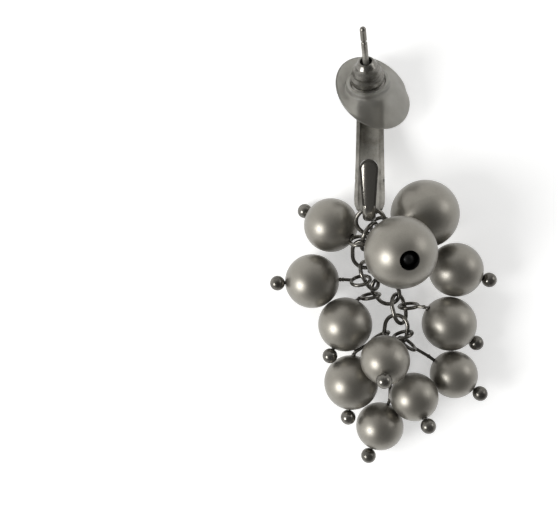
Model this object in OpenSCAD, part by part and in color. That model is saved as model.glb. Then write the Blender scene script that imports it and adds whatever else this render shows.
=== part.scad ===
// Cluster earring: a J-shaped hoop with a post, a short chain of oval links,
// round pearls on ball-headed pins, and a bullet clutch with a soft disc.
// It lies face down: the plate's polished face and the pearls are on z = 0.

/* [Hoop] */
// Width of the plate at the post
plate_top_w = 4.0; // [3.6:0.1:4.2]
// Width of the plate at its lower half
plate_low_w = 4.4; // [4.0:0.1:4.8]
// Depth of the plate, from its polished face to its rims
plate_depth = 1.8; // [1.5:0.1:2.0]
// Thickness of the plate's back wall
plate_wall = 0.7; // [0.5:0.1:0.9]
// Thickness of the rims beside the channel
rim_w = 0.5; // [0.4:0.05:0.7]
// Radius of the plate's long curve, at its polished face
plate_r = 23.2; // [22:0.1:25]
// Angle that the long curve turns, from the post to the neck
plate_angle = 50; // [47:0.5:52]
// Length of plate above the post
plate_over = 1.8; // [1.4:0.1:2.2]
// Width of the neck
neck_w = 1.8; // [1.6:0.1:2.0]
// Thickness of the neck
neck_t = 1.2; // [1.0:0.1:1.3]
// Radius of the neck's turn, at its middle
neck_r = 2.0; // [1.9:0.1:2.3]
// Angle that the neck turns
neck_angle = 115; // [110:1:120]
// Length of the tongue, from the neck to its tip
tongue_len = 6.3; // [5.6:0.1:6.8]
// Width of the tongue's round end
tongue_w = 2.5; // [2.2:0.1:2.8]
// Thickness of the tongue
tongue_t = 1.2; // [1.0:0.1:1.4]

/* [Post] */
// Diameter of the post
post_d = 0.9; // [0.8:0.05:1.0]
// Length of the post above the channel
post_len = 14.4; // [13.5:0.1:15]
// Lean of the post, from square to the plate towards its top
post_lean = 35; // [30:1:38]
// Lean of the post to the side
post_side = 3.5; // [0:0.5:5]
// Distance of the catch groove from the post's tip
groove_at = 2.4; // [2:0.1:3]
// Depth of the catch groove
groove_depth = 0.15; // [0.12:0.01:0.18]

/* [Clutch] */
// Length of the bullet
bullet_len = 4.7; // [4.4:0.1:5.2]
// Diameter of the bullet's base
bullet_d = 5.2; // [4.8:0.1:5.4]
// Diameter of the bullet's mouth
mouth_d = 1.8; // [1.5:0.1:2.0]
// Running clearance round the post
post_gap = 0.05; // [0.03:0.01:0.08]
// Gap between the clutch and the plate's rims
clutch_gap = 0.1; // [0.05:0.05:1]
// Diameter of the soft disc when flat
disc_d = 10.6; // [10.2:0.1:11]
// Thickness of the soft disc
disc_t = 0.6; // [0.5:0.05:0.8]
// Diameter of the disc's hub
hub_d = 6.4; // [6.1:0.1:6.8]
// Height of the disc's hub
hub_h = 1.5; // [1.3:0.1:1.8]

/* [Chain] */
// Wire of the links and the jump ring
link_wire = 0.6; // [0.5:0.05:0.7]
// Length of a link
link_len = 5.0; // [4.9:0.05:5.2]
// Width of a link
link_w = 4.0; // [3.9:0.05:4.2]
// Outside diameter of the jump ring
ring_d = 4.6; // [4.5:0.1:4.8]
// Play between one link and the next
link_play = 0.4; // [0.3:0.05:0.5]

/* [Pearls] */
// Diameter of a large pearl
pearl_l = 10; // [9.7:0.1:10.1]
// Diameter of a medium pearl
pearl_m = 8; // [7.7:0.1:8.1]
// Diameter of a small pearl
pearl_s = 7; // [6.7:0.1:7.1]
// Drill hole of a pearl
pearl_bore = 0.9; // [0.7:0.05:1.2]
// Wide mouth of a large pearl's hole
sink_d = 2.7; // [2.5:0.05:2.9]
// Depth of that mouth, from the pearl's crown
sink_depth = 2.7; // [2.5:0.1:3]

/* [Pins] */
// Wire of the pins
pin_wire = 0.5; // [0.4:0.05:0.55]
// Diameter of a pin's ball
ball_d = 2.2; // [2.0:0.1:2.3]
// Outside diameter of a pin's eye
eye_d = 3.3; // [3.2:0.05:3.4]
// Radius of a pin's bend
knee_r = 0.6; // [0.5:0.05:0.8]
// Play between a ball and its pearl
ball_play = 0.08; // [0.05:0.01:0.15]

/* [Hidden] */
$fn = 48;
floor_gap = 0.05;
hoop_at = [14.0, 23.2, 0.25];
hoop_roll = -8;
// The chosen points of the chain's route, from the neck to the last link
route = [[12.45, 5.9, 10.4], [13.0, 2.9, 7.1], [12.4, 0.2, 4.9], [13.5, -3.0, 4.2],
         [16.5, -5.5, 3.9], [18.2, -8.2, 3.7], [17.1, -11.7, 3.5], [16.6, -20, 3.4]];
odd_turn = 130;
even_turn = 22;
// Lean of the neck where the ring hangs, and the ring's play on it
ring_lean = 65;
ring_play = 0.25;
link_count = 6;
// The pearls: diameter, x, y, lift of the lowest point above the floor,
// turn and rise of the ball seen from the pearl
LARGE = 0; MEDIUM = 1; SMALL = 2;
pearl_dia = [pearl_l, pearl_m, pearl_s];
PS = 0; PX = 1; PY = 2; PZ = 3; PTURN = 4; PRISE = 5;
pearls = [
    [MEDIUM,  7.7,   4.8, 0,   149, -32],
    [LARGE,  21.4,   6.4, 0,    10, -18],
    [LARGE,  16.6,   0.7, 7.4, -70,  76],
    [MEDIUM,  4.9,  -3.5, 0,   183,   8],
    [MEDIUM, 26.2,  -1.8, 0,   -17,   0],
    [MEDIUM,  9.8,  -9.9, 0,  -117,  10],
    [MEDIUM, 25.2,  -9.8, 0,   -35,  -8],
    [SMALL,  15.0, -14.5, 5.35, -108,  60],
    [SMALL,  26.0, -17.4, 0,   -36,   8],
    [MEDIUM, 10.7, -18.5, 0,   -95,   0],
    [SMALL,  19.7, -20.3, 2.2, -67,  30],
    [SMALL,  15.0, -25.1, 0,  -111,   0]];
pearl_count = len(pearls);
// The pins: link, place round it in degrees and along its side
// as a share of the half straight, eye turn, and length of wire from the
// pearl's surface to the bend
NLINK = 0; NSIDE = 1; NALONG = 2; NTURN = 3; NKNEE = 4;
pins = [
    [1,  90, 0,  0, 0.25],
    [1, -90, -0.7,  10, 0.5],
    [2, 105,  0,   -5, 0.8],
    [3,  90,  0,    0, 0.5],
    [3, -90,  0,    0, 1.0],
    [4, -100, -0.3,  0, 0.25],
    [5, -90,  0,    0, 0.4],
    [6,  90, 0.4,   0, 0.8],
    [6,  54,  0,    0, 1.0],
    [6, -75,  0,    0, 0.4],
    [6,  14,  0,    0, 0.6],
    [6, -14,  0,    0, 0.7]];

// Vectors
function unit(v) = v / norm(v);
function square_to(v, n) = unit(v - (v * n) * n);
function turned(v, n, a) = v * cos(a) + cross(n, v) * sin(a) + n * (n * v) * (1 - cos(a));
function aim(turn, rise) = [cos(turn) * cos(rise), sin(turn) * cos(rise), sin(rise)];
module at(p, z, x) {
    xx = square_to(x, z);
    yy = cross(z, xx);
    multmatrix([[xx.x, yy.x, z.x, p.x], [xx.y, yy.y, z.y, p.y],
        [xx.z, yy.z, z.z, p.z], [0, 0, 0, 1]]) children();
}

// Chain
link_r = (link_w - link_wire) / 2;
link_half = (link_len - link_wire) / 2 - link_r;
pitch = link_len - 2 * link_wire - link_play;
ring_r = (ring_d - link_wire) / 2;
ring_step = ring_r - link_wire / 2 - neck_t / 2 - link_play / 2;
first_step = ring_r - link_wire + link_half + link_r - link_play / 2;
function walk(s, i = 0) = let (a = route[i], b = route[i + 1], d = norm(b - a))
    s <= d || i + 2 == len(route) ? a + (b - a) * s / d : walk(s - d, i + 1);
function link_c(k) = k == 0 ? walk(ring_step) : walk(ring_step + first_step + (k - 1) * pitch);
function link_a(k) = unit(link_c(k + 1) - (k == 1 ? link_c(0) : link_c(k - 1)));
// A link's sideways direction, which turns a quarter from one link to the next
function link_u(k) = let (a = link_a(k), h = unit(cross([0, 0, 1], a)))
    turned(h, a, (k % 2 == 1 ? odd_turn : even_turn));

// A point of a link's wire, the wire's direction there and the way out
function wire_u(k, side) = (side < 0 ? -1 : 1) * link_u(k);
function wire_out(k, side) = let (s = abs(side)) link_a(k) * cos(s) + wire_u(k, side) * sin(s);
function wire_along(k, side) = let (s = abs(side)) link_a(k) * sin(s) - wire_u(k, side) * cos(s);
function wire_p(k, side, along) = link_c(k) + link_r * wire_out(k, side)
    + link_a(k) * link_half * (abs(side) < 90 ? 1 : along);

// Pearls and pins
function pearl_r(i) = pearl_dia[pearls[i][PS]] / 2;
function pearl_p(i) = [pearls[i][PX], pearls[i][PY],
    pearls[i][PZ] + pearl_r(i) + floor_gap];
function head_d(i) = aim(pearls[i][PTURN], pearls[i][PRISE]);
function ball_at(i) = pearls[i][PS] == LARGE ? pearl_r(i) - sink_depth + ball_d / 2 + ball_play
    : pearl_r(i) + ball_d / 2 + ball_play;
eye_r = (eye_d - pin_wire) / 2;
eye_ease = 0.15;
eye_extra = 0.04;
eye_slack = eye_r - (pin_wire + link_wire) / 2 - eye_ease;
function knee_p(i) = pearl_p(i) - head_d(i) * (pearl_r(i) + pins[i][NKNEE]);
function hook_p(i) = wire_p(pins[i][NLINK], pins[i][NSIDE], pins[i][NALONG]);
function hook_t(i) = wire_along(pins[i][NLINK], pins[i][NSIDE]);
function eye_p(i) = let (w = hook_p(i)) w + eye_slack * unit(knee_p(i) - w);
function neck_d(i) = unit(knee_p(i) - eye_p(i));
function eye_n(i) = turned(square_to(hook_t(i), neck_d(i)), neck_d(i), pins[i][NTURN]);
// The bend between the pearl and the eye
function bend(i) = acos(max(-1, min(1, head_d(i) * neck_d(i))));
function knee_cut(i) = knee_r * tan(bend(i) / 2);

module link_solid() {
    for (s = [-1, 1]) {
        translate([s * link_r, 0, -link_half]) cylinder(d = link_wire, h = 2 * link_half);
        translate([0, 0, s * link_half]) rotate([90, 0, 0]) rotate(s < 0 ? 180 : 0)
            rotate_extrude(angle = 180) translate([link_r, 0]) circle(d = link_wire);
    }
}

module link(k) {
    color("dimgray") at(link_c(k), link_a(k), link_u(k)) link_solid();
}

module pearl(i) {
    r = pearl_r(i);
    color("lightgray") at(pearl_p(i), head_d(i), [0.3, 0.5, 0.8]) difference() {
        sphere(r = r, $fn = 64);
        translate([0, 0, -r - 1]) cylinder(d = pearl_bore, h = 2 * r + 2);
        if (pearls[i][PS] == LARGE)
            translate([0, 0, r - sink_depth]) cylinder(d = sink_d, h = sink_depth + 1);
    }
}

// A straight length of pin wire, and the bends between such lengths
knuckle_r = 0.625 * pin_wire;
module wire_run(a, b, open_a, open_b) {
    d = unit(b - a);
    short = 0.32 * pin_wire;
    at(a + d * (open_a ? 0 : short), d, [0.3, 0.5, 0.8])
        cylinder(d = pin_wire, h = norm(b - a) - (open_a ? 0 : short) - (open_b ? 0 : short));
}
// A round corner of the wire at q, between its neighbours p and r
module knuckle(p, q, r) {
    u = unit(p - q);
    v = unit(r - q);
    at(q, unit(cross(u, v)), -(u + v)) sphere(r = knuckle_r, $fn = 24);
}
module pin(i) {
    h = head_d(i);
    k = knee_p(i);
    e = eye_p(i);
    d = neck_d(i);
    cut = knee_cut(i);
    ball = pearl_p(i) + h * ball_at(i);
    neck = e + d * eye_r;
    run = bend(i) > 40 ? [ball, k + h * cut, k - d * cut, neck] : [ball, k, neck];
    last = len(run) - 1;
    color("gray") {
        at(ball, square_to([0.3, 0.5, 0.8], h), h) sphere(d = ball_d, $fn = 32);
        for (j = [1:last]) wire_run(run[j - 1], run[j], j == 1, j == last);
        for (j = [1:last - 1]) knuckle(run[j - 1], run[j], run[j + 1]);
        at(e, eye_n(i), -d) rotate_extrude() translate([eye_r, 0])
            rotate(180) circle(d = pin_wire + eye_extra);
    }
}

// Hoop, in its own frame: z = 0 touches the plate's polished face under the
// post, -Y runs down the plate and the long curve's centre is at height plate_r
mid_r = plate_r - plate_depth / 2;
plate_run = mid_r * sin(plate_angle);
turn_c = [0, -mid_r * sin(plate_angle) + neck_r * sin(plate_angle),
    plate_r - mid_r * cos(plate_angle) + neck_r * cos(plate_angle)];
tongue_angle = plate_angle + neck_angle;
shoulder = plate_low_w / 2;
crown_r = plate_low_w;
// Half width of the plate at a run y below the post, rounded at both ends
function plate_half(y) = let (
        t = max(0, min(1, y / (plate_run - shoulder))),
        w = (plate_top_w + (plate_low_w - plate_top_w) * t) / 2,
        up = max(0, min(1, (y + plate_over) / (plate_top_w / 2))),
        dn = max(0, min(1, (y - plate_run + shoulder) / shoulder)))
    y < 0 ? w * sqrt(max(0, 1 - pow(1 - up, 2)))
    : neck_w / 2 + (w - neck_w / 2) * sqrt(max(0, 1 - dn * dn));
module outline(inset, y0, y1) {
    n = 30;
    ys = [for (i = [0:n]) y0 + (y1 - y0) * (1 - cos(180 * i / n)) / 2];
    polygon(concat([for (y = ys) [max(0.05, plate_half(y) - inset), -y]],
        [for (i = [n:-1:0]) [-max(0.05, plate_half(ys[i]) - inset), -ys[i]]]));
}
// A section, drawn as [radius, side], swept round a centre from one lean to another
module sweep(c, a0, a1) {
    translate(c) multmatrix([[0, 0, -1, 0], [0, -1, 0, 0], [-1, 0, 0, 0], [0, 0, 0, 1]])
        rotate([0, 0, a0]) rotate_extrude(angle = a1 - a0) children();
}
over_a = asin(plate_over / mid_r);
module plate() {
    c = [0, 0, plate_r];
    intersection() {
        sweep(c, -over_a - 2, plate_angle) intersection() {
            translate([plate_r - plate_depth, -plate_low_w])
                square([plate_depth, 2 * plate_low_w]);
            translate([plate_r - crown_r, 0]) circle(r = crown_r);
        }
        translate([0, 0, -1]) linear_extrude(plate_r) outline(0, -plate_over, plate_run + 2);
    }
}
module channel() {
    c = [0, 0, plate_r];
    intersection() {
        sweep(c, -over_a - 1, plate_angle) union() {
            translate([plate_r - plate_depth - 1, -plate_low_w])
                square([plate_depth + 1 - plate_wall - 0.2, 2 * plate_low_w]);
            translate([plate_r - plate_wall - crown_r, 0]) circle(r = crown_r);
        }
        translate([0, 0, -1]) linear_extrude(plate_r)
            outline(rim_w, rim_w - plate_over, plate_run - shoulder / 3);
    }
}
// Places what follows on the post's axis, with z = 0 at the channel's floor
module on_post() {
    translate([0, 0, plate_wall]) rotate([-post_lean, 0, 0]) rotate([0, -post_side, 0])
        children();
}
module post() {
    r = post_d / 2;
    on_post() rotate_extrude() difference() {
        union() {
            translate([0, -plate_wall / 2]) square([r, post_len - r + plate_wall / 2]);
            intersection() {
                translate([0, post_len - r]) circle(r = r);
                translate([0, post_len - r]) square([r, r]);
            }
        }
        translate([r + 0.3 - groove_depth, post_len - groove_at]) circle(r = 0.3);
    }
}
module stadium(t, w) {
    square([t, w - t], center = true);
    for (s = [-1, 1]) translate([0, s * (w - t) / 2]) circle(d = t);
}
module tongue_shape(inset) {
    r = tongue_w / 2 - inset;
    n = neck_w / 2 - inset;
    translate([0, tongue_len - tongue_w / 2]) circle(r = r);
    polygon([[-n, -0.2], [n, -0.2], [r, tongue_len - tongue_w / 2],
        [-r, tongue_len - tongue_w / 2]]);
}
module tongue() {
    b = tongue_angle;
    edge = 0.3;
    at(turn_c - neck_r * [0, sin(b), cos(b)], [0, -sin(b), -cos(b)], [1, 0, 0]) {
        translate([0, 0, -tongue_t / 2]) linear_extrude(tongue_t * 0.7) tongue_shape(0);
        intersection() {
            translate([0, 0, -tongue_t / 4]) linear_extrude(tongue_t) tongue_shape(edge);
            translate([0, -1, tongue_t / 2 - tongue_w]) rotate([-90, 0, 0])
                cylinder(r = tongue_w, h = tongue_len + 2, $fn = 96);
        }
    }
}
module hoop_place() {
    translate(hoop_at) rotate([0, hoop_roll, 0]) children();
}
notch_at = 0.7;
module hoop() {
    ny = notch_at * plate_run;
    color("gray") hoop_place() {
        difference() {
            plate();
            channel();
            for (s = [-1, 1])
                translate([s * (plate_half(ny) + 0.05), -ny,
                    plate_r - sqrt(pow(plate_r - plate_wall, 2) - ny * ny)])
                    cylinder(r = 0.3, h = plate_depth + 1);
        }
        sweep(turn_c, plate_angle - 0.5, tongue_angle) translate([neck_r, 0])
            stadium(neck_t, neck_w);
        tongue();
        post();
    }
}

// The jump ring, which hangs on the neck and holds the first link's end
ring_neck = hoop_at + turned(turn_c - neck_r * [0, sin(ring_lean), cos(ring_lean)],
    [0, 1, 0], hoop_roll);
ring_a = unit(link_c(1) - (link_half + link_r) * link_a(1) - ring_neck);
ring_n = square_to(turned([0, -cos(ring_lean), sin(ring_lean)], [0, 1, 0], hoop_roll), ring_a);
ring_c = ring_neck + (ring_r - (link_wire + neck_t) / 2 - ring_play) * ring_a;
module jump_ring() {
    color("dimgray") at(ring_c, ring_n, ring_a)
        rotate_extrude() translate([ring_r, 0]) circle(d = link_wire);
}

// Clutch, on the post's axis with z = 0 at the hub's foot
hub_drop = sqrt(pow(hub_d / 2, 2) - pow(plate_top_w / 2 - rim_w, 2));
clutch_at = (plate_depth - plate_wall + hub_drop * sin(post_lean) + clutch_gap)
    / cos(post_lean);
module clutch_place() {
    hoop_place() on_post() translate([0, 0, clutch_at]) children();
}
hub_floor = 0.3;
bore_r = post_d / 2 + post_gap;
module clutch_bullet() {
    b = bullet_d / 2;
    m = mouth_d / 2;
    h = bullet_len;
    color("gray") clutch_place() translate([0, 0, hub_floor + 0.05]) rotate_extrude()
        difference() {
            polygon([[0, 0], [b, 0], [b, 0.2 * h], [b - 0.3, 0.24 * h], [b - 0.3, 0.3 * h],
                [b - 0.1, 0.34 * h], [b - 0.15, 0.46 * h], [b - 0.6, 0.52 * h],
                [b - 0.6, 0.58 * h], [b - 0.45, 0.62 * h], [b - 0.6, 0.74 * h],
                [b - 1.0, 0.79 * h], [b - 1.05, 0.87 * h], [m + 0.35, h - 0.15],
                [m + 0.2, h], [0, h]]);
            translate([-1, -1]) square([1 + bore_r, h + 2]);
            translate([0, 0.75 * h]) square([m, h]);
            translate([0, -1]) square([m, 1 + 0.2 * h]);
        }
}
// The soft disc has bent and sagged, so that its rim lies at a slant and to one side
// of its hub
rim_n = [0.46, -0.36, 1];
rim_shift = [0.65, -0.75];
function rim_point(r, a, k, z) = let (x = r * cos(a) + rim_shift.x * k,
    y = r * sin(a) + rim_shift.y * k) [x, y, z - (rim_n.x * x + rim_n.y * y) * k];
module clutch_disc() {
    h = hub_d / 2;
    b = bullet_d / 2 + 0.05;
    na = 40;
    nr = 5;
    r0 = (h + b) / 2;
    rr = [for (j = [0:nr]) r0 + (disc_d / 2 - r0) * j / nr];
    kk = [for (r = rr) let (t = max(0, (r - h) / (disc_d / 2 - h))) t * t * (3 - 2 * t)];
    pts = [for (z = [0, disc_t]) for (j = [0:nr]) for (i = [0:na - 1])
        rim_point(rr[j], 360 * i / na, kk[j], z)];
    top = (nr + 1) * na;
    color("gainsboro") clutch_place() {
        difference() {
            cylinder(r = h, h = hub_h);
            translate([0, 0, hub_floor]) cylinder(r = b, h = hub_h);
            translate([0, 0, -1]) cylinder(r = bore_r + 0.1, h = 3);
        }
        polyhedron(pts, concat(
            [for (j = [0:nr - 1]) for (i = [0:na - 1]) let (k = (i + 1) % na)
                for (f = [[j * na + i, (j + 1) * na + k, j * na + k],
                    [j * na + i, (j + 1) * na + i, (j + 1) * na + k]]) f],
            [for (j = [0:nr - 1]) for (i = [0:na - 1]) let (k = (i + 1) % na)
                for (f = [[top + j * na + i, top + j * na + k, top + (j + 1) * na + k],
                    [top + j * na + i, top + (j + 1) * na + k, top + (j + 1) * na + i]]) f],
            [for (i = [0:na - 1]) let (k = (i + 1) % na)
                for (f = [[i, top + k, top + i], [i, k, top + k],
                    [nr * na + i, top + nr * na + k, nr * na + k],
                    [nr * na + i, top + nr * na + i, top + nr * na + k]]) f]));
    }
}

// The frame's origin is the middle of the footprint, on the floor
function low_x() = min([for (i = [0:pearl_count - 1]) pearl_p(i).x
    + min(-pearl_r(i), head_d(i).x * ball_at(i) - ball_d / 2)]);
function high_x() = max([for (i = [0:pearl_count - 1]) pearl_p(i).x
    + max(pearl_r(i), head_d(i).x * ball_at(i) + ball_d / 2)]);
function low_y() = min([for (i = [0:pearl_count - 1]) pearl_p(i).y
    + min(-pearl_r(i), head_d(i).y * ball_at(i) - ball_d / 2)]);
post_end = hoop_at + turned([0, 0, plate_wall] + (post_len - post_d / 2)
    * turned(turned([0, 0, 1], [0, 1, 0], -post_side), [1, 0, 0], -post_lean),
    [0, 1, 0], hoop_roll);
origin = [(low_x() + high_x()) / 2, (low_y() + post_end.y + post_d / 2) / 2, floor_gap];
module placed() { translate(-origin) children(); }
placed() hoop();
placed() jump_ring();
for (k = [1:link_count])
    placed() link(k);
for (i = [1:pearl_count])
    placed() pearl(i - 1);
for (i = [1:pearl_count])
    placed() pin(i - 1);
placed() clutch_bullet();
placed() clutch_disc();
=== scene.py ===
"""Looks of a pearl cluster earring that lies face down, seen from straight above.

Lengths here are in millimetres and are turned into metres where an object is made.
"""
import math

import bmesh
import bpy
from mathutils import Matrix, Vector


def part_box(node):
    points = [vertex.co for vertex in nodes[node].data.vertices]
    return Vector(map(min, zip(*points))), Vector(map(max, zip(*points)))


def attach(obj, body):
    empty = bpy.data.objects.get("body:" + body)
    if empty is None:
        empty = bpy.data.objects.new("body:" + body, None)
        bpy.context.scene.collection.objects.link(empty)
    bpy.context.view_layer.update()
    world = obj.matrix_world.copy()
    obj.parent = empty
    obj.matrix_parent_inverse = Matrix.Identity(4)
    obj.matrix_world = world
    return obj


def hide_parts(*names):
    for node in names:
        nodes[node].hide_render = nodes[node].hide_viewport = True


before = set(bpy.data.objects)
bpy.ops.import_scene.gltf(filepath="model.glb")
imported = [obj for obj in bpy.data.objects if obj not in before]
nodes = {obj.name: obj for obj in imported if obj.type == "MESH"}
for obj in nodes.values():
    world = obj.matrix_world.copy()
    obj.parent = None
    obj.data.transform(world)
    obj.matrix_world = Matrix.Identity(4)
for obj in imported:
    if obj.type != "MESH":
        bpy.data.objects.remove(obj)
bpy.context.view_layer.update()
MM = 0.001

# Places of the part, as its source has them
ORIGIN = Vector((15.4655, 0.5337, 0.05))
HOOP_AT = Vector((14.0, 23.2, 0.25))
HOOP_ROLL = -8
PLATE_WALL = 0.7
POST_LEAN = 35
POST_SIDE = 3.5
CLUTCH_AT = 3.444
LINK_COUNT = 6
PEARL_COUNT = 12
LARGE_PEARLS = (2, 3)
TOP_PEARL = 3

# The camera looks straight down from over the middle of the photograph's frame
CAMERA_HEIGHT = 110
FOCAL_PIXELS = 715
FRAME_WIDTH = 558
SENSOR = 36


# Materials: shares of metal in the shaders, and the darker tone of the hoop's polished upper part,
# a painted dark reflection
NOISE_ROUGH = 0.55
METAL_SHARE = 0.85
PEARL_METAL_SHARE = 0.78
DARK_POLISH_FADE = 1.5
BORE_SHADE_SHARE = 0.975
COAT_WEIGHT = 0.45
COAT_ROUGH = 0.34
DULL_METAL_SHARE = 0.5
PAINTED_REFLECTION_TONE = (0.19, 0.18, 0.16)
POLISH_ROUGH = 0.17


def shader(name):
    material = bpy.data.materials.new(name)
    material.use_nodes = True
    tree = material.node_tree
    return material, tree, tree.nodes["Principled BSDF"]


def place(tree):
    """Coordinates in millimetres of the part."""
    coords = tree.nodes.new("ShaderNodeTexCoord")
    mapping = tree.nodes.new("ShaderNodeMapping")
    mapping.inputs["Scale"].default_value = (1 / MM,) * 3
    tree.links.new(coords.outputs["Object"], mapping.inputs["Vector"])
    return mapping.outputs["Vector"]


def noise(tree, per_mm, detail):
    node = tree.nodes.new("ShaderNodeTexNoise")
    node.inputs["Scale"].default_value = per_mm
    node.inputs["Detail"].default_value = detail
    node.inputs["Roughness"].default_value = NOISE_ROUGH
    tree.links.new(place(tree), node.inputs["Vector"])
    return node.outputs["Fac"]


def ramp(tree, source, stops):
    node = tree.nodes.new("ShaderNodeValToRGB")
    elements = node.color_ramp.elements
    while len(elements) < len(stops):
        elements.new(0.5)
    for element, (position, value) in zip(elements, stops):
        element.position = position
        element.color = (*value, 1) if isinstance(value, tuple) else (value, value, value, 1)
    tree.links.new(source, node.inputs["Fac"])
    return node.outputs["Color"]


def mixed(tree, factor, a, b, blend="MIX"):
    node = tree.nodes.new("ShaderNodeMix")
    node.data_type = "RGBA"
    node.blend_type = blend
    for key, value in (("Factor", factor), ("A", a), ("B", b)):
        socket = [s for s in node.inputs if s.name == key and s.enabled][0]
        if isinstance(value, bpy.types.NodeSocket):
            tree.links.new(value, socket)
        elif isinstance(value, tuple):
            socket.default_value = (*value, 1)
        else:
            socket.default_value = value
    return [s for s in node.outputs if s.enabled][0]


def bump(tree, bsdf, height, strength, depth_mm):
    node = tree.nodes.new("ShaderNodeBump")
    node.inputs["Strength"].default_value = strength
    node.inputs["Distance"].default_value = depth_mm * MM
    tree.links.new(height, node.inputs["Height"])
    tree.links.new(node.outputs["Normal"], bsdf.inputs["Normal"])


def metal(name, light, dark, rough, dull, dark_polish_over=None):
    """Nickel plate: clean where it is rubbed, darker and duller in patches.

    Over the height dark_polish_over it is more polished, and its colour is darker by a painted
    dark reflection.
    """
    material, tree, bsdf = shader(name)
    patches = noise(tree, 0.55, 5.0)
    fine = noise(tree, 6.0, 3.0)
    tone = ramp(tree, patches, [(0.35, dark), (0.62, light)])
    speck = ramp(tree, fine, [(0.30, 0.72), (0.50, 1.0)])
    colour = mixed(tree, 1.0, tone, speck, "MULTIPLY")
    roughness = ramp(tree, patches, [(0.30, dull), (0.65, rough)])
    bsdf.inputs["Metallic"].default_value = METAL_SHARE
    if dark_polish_over is not None:
        parts = tree.nodes.new("ShaderNodeSeparateXYZ")
        tree.links.new(place(tree), parts.inputs["Vector"])
        height = tree.nodes.new("ShaderNodeMapRange")
        height.inputs["From Min"].default_value = dark_polish_over
        height.inputs["From Max"].default_value = dark_polish_over + DARK_POLISH_FADE
        tree.links.new(parts.outputs["Z"], height.inputs["Value"])
        # Painted reflection: above this height the colour darkens, standing for the dark
        # reflection on the polished upper part of the hoop.
        colour = mixed(tree, height.outputs["Result"], colour, PAINTED_REFLECTION_TONE)
        roughness = mixed(tree, height.outputs["Result"], roughness, (POLISH_ROUGH,) * 3)
        share = mixed(tree, height.outputs["Result"], (DULL_METAL_SHARE,) * 3, (METAL_SHARE,) * 3)
        tree.links.new(share, bsdf.inputs["Metallic"])
    tree.links.new(colour, bsdf.inputs["Base Color"])
    tree.links.new(roughness, bsdf.inputs["Roughness"])
    bump(tree, bsdf, fine, 0.25, 0.02)
    return material


def pearl_lacquer(name, centre=None, inner=0.0):
    """Satin grey lacquer. Inside the radius inner round the centre, in the drill hole, the colour
    is painted black and dull: painted shade in the bore.
    """
    material, tree, bsdf = shader(name)
    cloud = noise(tree, 0.35, 3.0)
    grain = noise(tree, 9.0, 2.0)
    tone = ramp(tree, cloud, [(0.30, (0.225, 0.21, 0.18)), (0.70, (0.27, 0.255, 0.22))])
    grain_tone = ramp(tree, grain, [(0.30, 0.90), (0.65, 1.0)])
    colour = mixed(tree, 1.0, tone, grain_tone, "MULTIPLY")
    roughness = ramp(tree, grain, [(0.30, 0.44), (0.70, 0.36)])
    if centre is not None:
        reach = tree.nodes.new("ShaderNodeVectorMath")
        reach.operation = "DISTANCE"
        reach.inputs[1].default_value = centre / MM
        tree.links.new(place(tree), reach.inputs[0])
        inside = tree.nodes.new("ShaderNodeMath")
        inside.operation = "LESS_THAN"
        inside.inputs[1].default_value = inner
        tree.links.new(reach.outputs["Value"], inside.inputs[0])
        # Painted shade: the inside of the drill hole is coloured near black as the shade of that
        # recess.
        colour = mixed(tree, inside.outputs["Value"], colour, (0.004, 0.004, 0.004))
        roughness = mixed(tree, inside.outputs["Value"], roughness, (0.9, 0.9, 0.9))
    tree.links.new(colour, bsdf.inputs["Base Color"])
    tree.links.new(roughness, bsdf.inputs["Roughness"])
    bsdf.inputs["Metallic"].default_value = PEARL_METAL_SHARE
    bsdf.inputs["Coat Weight"].default_value = COAT_WEIGHT
    bsdf.inputs["Coat Roughness"].default_value = COAT_ROUGH
    bump(tree, bsdf, grain, 0.3, 0.012)
    return material


def milky_plastic(name):
    """Soft clear plastic gone milky, with faint flow marks."""
    material, tree, bsdf = shader(name)
    cloud = noise(tree, 0.45, 4.0)
    colour = ramp(tree, cloud, [(0.30, (0.32, 0.31, 0.28)), (0.70, (0.42, 0.41, 0.375))])
    tree.links.new(colour, bsdf.inputs["Base Color"])
    tree.links.new(ramp(tree, cloud, [(0.30, 0.36), (0.70, 0.28)]), bsdf.inputs["Roughness"])
    bsdf.inputs["Transmission Weight"].default_value = 0.8
    bsdf.inputs["IOR"].default_value = 1.4
    bump(tree, bsdf, noise(tree, 1.6, 3.0), 0.12, 0.03)
    return material


def paint(thing, material):
    thing.data.materials.clear()
    thing.data.materials.append(material)


# Meshes
def turned_matrix(angle, axis):
    return Matrix.Rotation(math.radians(angle), 4, axis)


def clutch_matrix():
    """Puts the post's axis on Z with the hub's foot at zero, in millimetres of the part."""
    return (Matrix.Translation(HOOP_AT - ORIGIN) @ turned_matrix(HOOP_ROLL, "Y")
            @ Matrix.Translation((0, 0, PLATE_WALL)) @ turned_matrix(-POST_LEAN, "X")
            @ turned_matrix(-POST_SIDE, "Y") @ Matrix.Translation((0, 0, CLUTCH_AT)))


def mesh_object(name, points, faces, matrix):
    mesh = bpy.data.meshes.new(name)
    mesh.from_pydata([(matrix @ Vector(p)) * MM for p in points], [], faces)
    mesh.validate()
    work = bmesh.new()
    work.from_mesh(mesh)
    bmesh.ops.recalc_face_normals(work, faces=work.faces)
    work.to_mesh(mesh)
    work.free()
    for polygon in mesh.polygons:
        polygon.use_smooth = True
    thing = bpy.data.objects.new(name, mesh)
    bpy.context.scene.collection.objects.link(thing)
    return thing


def corner(centre, radius, start, end, steps=5):
    """Points of an arc in the profile's plane."""
    angles = [math.radians(start + (end - start) * i / steps) for i in range(steps + 1)]
    return [(centre[0] + radius * math.cos(a), centre[1] + radius * math.sin(a)) for a in angles]


DISC_R = 5.3
DISC_T = 0.6
HUB_R = 3.2
HUB_H = 1.5
HUB_FLOOR = 0.3
POCKET_R = 2.65
HOLE_R = 0.6
RIM_SLOPE = (0.46, -0.36)
RIM_SHIFT = (0.65, -0.75)
KINK_TURN = 18
KINK_WIDTH = 9
KINK_DEPTH = 0.035
DISC_SIDES = 120


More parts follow.
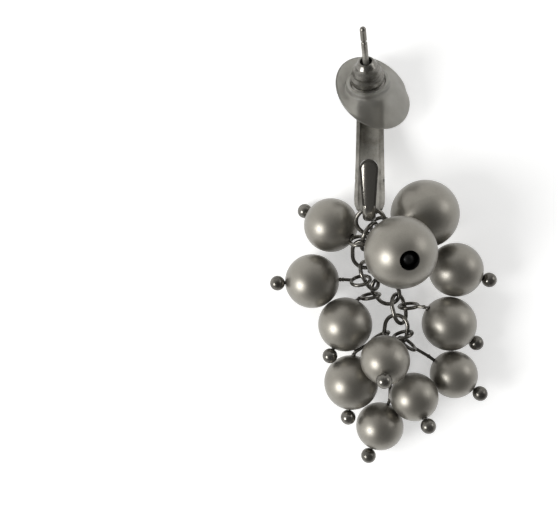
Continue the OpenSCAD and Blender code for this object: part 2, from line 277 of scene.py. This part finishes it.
def disc_profile():
    """Radius and height of the disc's section, all round, before it is bent."""
    edge = DISC_T / 2
    web = [(HUB_R + (DISC_R - edge - HUB_R) * i / 8, 0.0) for i in range(9)]
    back = [(r, DISC_T) for r, _ in reversed(web[2:])]
    return ([(HOLE_R, 0.0), (HUB_R - 0.4, 0.0)] + web
            + corner((DISC_R - edge, edge), edge, -80, 80, 8) + back
            + corner((HUB_R + 0.3, DISC_T + 0.3), 0.3, 270, 180)
            + corner((HUB_R - 0.15, HUB_H - 0.15), 0.15, 0, 90, 3)
            + corner((POCKET_R + 0.1, HUB_H - 0.1), 0.1, 90, 180, 2)
            + [(POCKET_R, HUB_FLOOR), (HOLE_R, HUB_FLOOR)])


def disc_bend(radius, turn, height):
    """The rim lies at a slant and to one side of the hub, with one small kink in its edge."""
    share = max(0.0, (radius - HUB_R) / (DISC_R - HUB_R))
    share = min(1.0, share)
    ease = share * share * (3 - 2 * share)
    off = (math.degrees(turn) - KINK_TURN) / KINK_WIDTH
    radius *= 1 - KINK_DEPTH * ease * math.exp(-off * off)
    x = radius * math.cos(turn) + RIM_SHIFT[0] * ease
    y = radius * math.sin(turn) + RIM_SHIFT[1] * ease
    return x, y, height - ease * (RIM_SLOPE[0] * x + RIM_SLOPE[1] * y)


def soft_disc():
    profile = disc_profile()
    count = len(profile)
    points = [disc_bend(r, 2 * math.pi * i / DISC_SIDES, z)
              for i in range(DISC_SIDES) for r, z in profile]
    faces = []
    for i in range(DISC_SIDES):
        here, there = i * count, (i + 1) % DISC_SIDES * count
        for j in range(count):
            k = (j + 1) % count
            faces.append((here + j, here + k, there + k, there + j))
    disc = mesh_object("soft_disc", points, faces, clutch_matrix())
    paint(disc, milky_plastic("milky_plastic"))
    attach(disc, "clutch")
    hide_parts("clutch_disc")
    return disc


# Finishes of the solids that stay
def finish_solids():
    plate = metal("hoop_plate_metal", (0.36, 0.345, 0.31), (0.22, 0.21, 0.185), 0.30, 0.44, 9.0)
    wire = metal("wire_metal", (0.20, 0.19, 0.17), (0.09, 0.085, 0.075), 0.17, 0.30)
    nose = metal("bullet_metal", (0.23, 0.22, 0.20), (0.11, 0.105, 0.09), 0.18, 0.32)
    lacquer = pearl_lacquer("pearl_lacquer")
    paint(nodes["hoop"], plate)
    paint(nodes["clutch_bullet"], nose)
    paint(nodes["jump_ring"], wire)
    for i in range(1, LINK_COUNT + 1):
        paint(nodes[f"link_{i}"], wire)
    # Painted shade: pin 3 is coloured near black so that its ball, deep in the top pearl's bore,
    # reads as the shade of that hole.
    black = metal("pin_3_painted_shade", (0.02, 0.02, 0.02), (0.008, 0.008, 0.008), 0.35, 0.5)
    for i in range(1, PEARL_COUNT + 1):
        paint(nodes[f"pin_{i}"], black if i == TOP_PEARL else wire)
        pearl = nodes[f"pearl_{i}"]
        if i in LARGE_PEARLS:
            low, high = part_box(f"pearl_{i}")
            middle = pearl_middle(pearl)
            # Points nearer the centre than this lie in the bore, which is painted black as shade.
            inner = (high - low).x / 2 / MM * BORE_SHADE_SHARE
            paint(pearl, pearl_lacquer(f"pearl_lacquer_{i}", middle, inner))
        else:
            paint(pearl, lacquer)


def pearl_middle(pearl):
    """Centre of a round bead, from its box: a drilled crown shortens one side only."""
    low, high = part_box(pearl.name)
    radius = max(high - low) / 2
    middle = (low + high) / 2
    middle.z = low.z + radius
    return middle


# Stage
FLOOR_SIZE = 900
FLOOR_DROP = 0.02
FLOOR_GLOW = 0.42
KEY_FROM = (-0.80, -0.28, 0.53)
KEY_FAR = 420
KEY_SIZE = 200
KEY_POWER = 1.3
FILL_FROM = (0.75, 0.30, 0.45)
FILL_FAR = 420
FILL_SIZE = 220
FILL_POWER = 0.25
DARK_CEILING = (0.15, -0.38, 0.90)


def lamp(name, towards, far, size, power):
    light = bpy.data.lights.new(name, "AREA")
    light.shape = "DISK"
    light.size = size * MM
    light.energy = power
    thing = bpy.data.objects.new(name, light)
    bpy.context.scene.collection.objects.link(thing)
    thing.location = Vector(towards).normalized() * far * MM
    thing.rotation_mode = "QUATERNION"
    thing.rotation_quaternion = thing.location.to_track_quat("Z", "Y")


def surroundings():
    """A pale room with a dark ceiling, which the pearls and the metal mirror."""
    world = bpy.data.worlds.new("room")
    world.use_nodes = True
    tree = world.node_tree
    coords = tree.nodes.new("ShaderNodeTexCoord")
    rise = tree.nodes.new("ShaderNodeVectorMath")
    rise.operation = "DOT_PRODUCT"
    rise.inputs[1].default_value = Vector(DARK_CEILING).normalized()
    tree.links.new(coords.outputs["Generated"], rise.inputs[0])
    sky = ramp(tree, rise.outputs["Value"], [(0.0, 1.1), (0.30, 0.78), (0.62, 0.40), (0.85, 0.12)])
    tree.links.new(sky, tree.nodes["Background"].inputs["Color"])
    tree.nodes["Background"].inputs["Strength"].default_value = 1.0
    bpy.context.scene.world = world


def floor():
    half = FLOOR_SIZE / 2
    corners = [(-half, -half, 0), (half, -half, 0), (half, half, 0), (-half, half, 0)]
    plane = mesh_object("floor", corners, [(0, 1, 2, 3)], Matrix.Translation((0, 0, -FLOOR_DROP)))
    material, tree, bsdf = shader("pale_floor")
    bsdf.inputs["Base Color"].default_value = (0.86, 0.86, 0.85, 1)
    bsdf.inputs["Emission Color"].default_value = (1, 1, 1, 1)
    bsdf.inputs["Emission Strength"].default_value = FLOOR_GLOW
    bsdf.inputs["Roughness"].default_value = 0.9
    paint(plane, material)


def camera():
    data = bpy.data.cameras.new("camera")
    data.sensor_width = SENSOR
    data.lens = SENSOR * FOCAL_PIXELS / FRAME_WIDTH
    data.clip_start = 0.005
    data.clip_end = 10
    thing = bpy.data.objects.new("camera", data)
    thing.location = (Vector((0, 0, CAMERA_HEIGHT)) - ORIGIN) * MM
    bpy.context.scene.collection.objects.link(thing)
    bpy.context.scene.camera = thing


soft_disc()
finish_solids()
surroundings()
floor()
lamp("key_light", KEY_FROM, KEY_FAR, KEY_SIZE, KEY_POWER)
lamp("fill_light", FILL_FROM, FILL_FAR, FILL_SIZE, FILL_POWER)
camera()
bpy.context.scene.view_settings.view_transform = "Standard"
